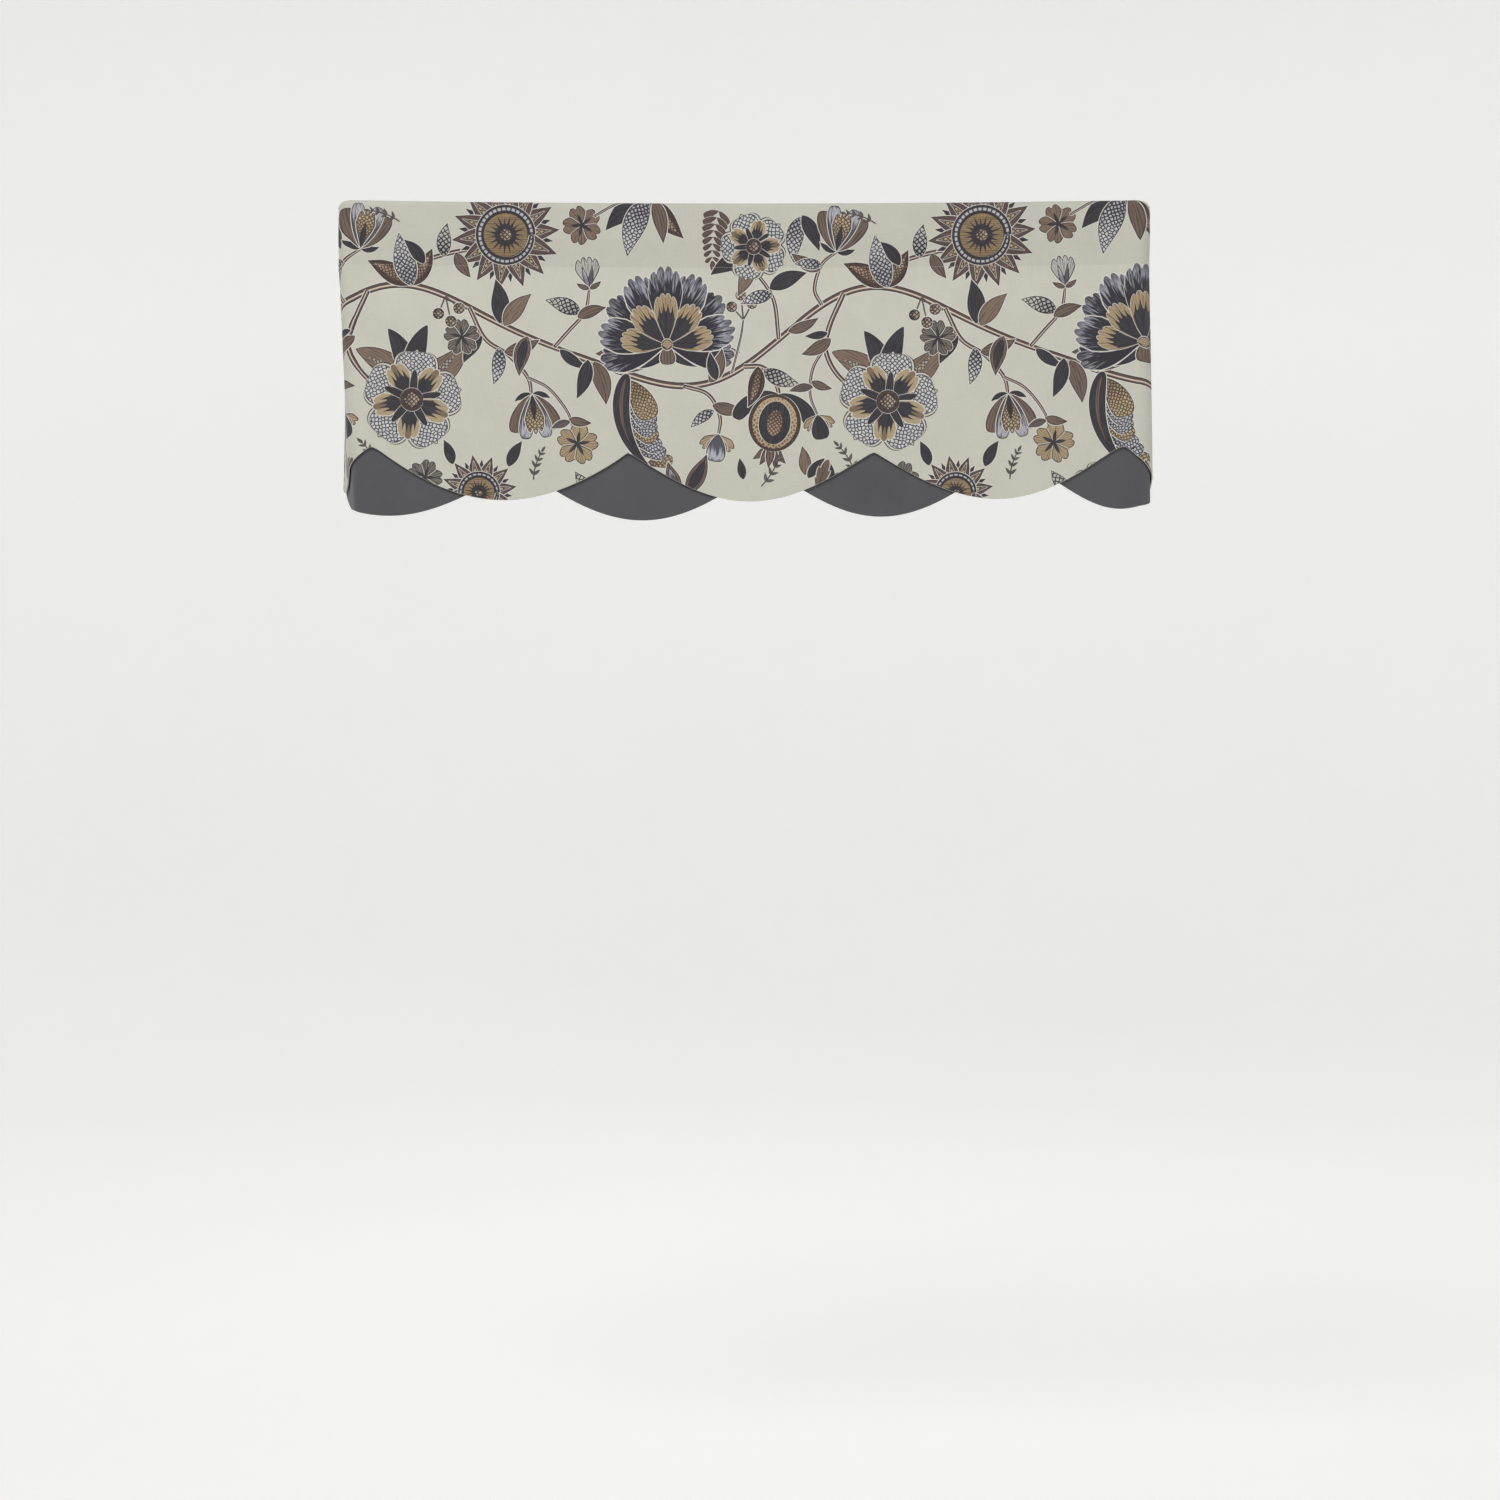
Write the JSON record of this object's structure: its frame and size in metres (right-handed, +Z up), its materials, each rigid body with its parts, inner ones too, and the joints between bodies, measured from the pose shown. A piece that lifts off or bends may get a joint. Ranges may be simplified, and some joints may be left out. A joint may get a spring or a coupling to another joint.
{
  "type": "window valance",
  "caption": "Flat window valance: a printed overlay with a scalloped hem over a plain scalloped petticoat, sewn into one rod pocket, with a return to the wall at each end.",
  "frame": {"origin": "middle of the top edge, over the middle of the rod pocket", "axes": "+X along the window, to the right for someone who faces the valance; +Y to the wall; +Z up"},
  "size_m": [1.1232, 0.1008, 0.4369],
  "materials": {
    "printed_cotton": "matt cream cotton with a large trailing floral print in charcoal, brown and gold",
    "grey_cotton": "matt plain dark grey cotton"
  },
  "bodies": {
    "root": {"overlay": "printed_cotton", "petticoat": "grey_cotton"}
  },
  "joints": []
}
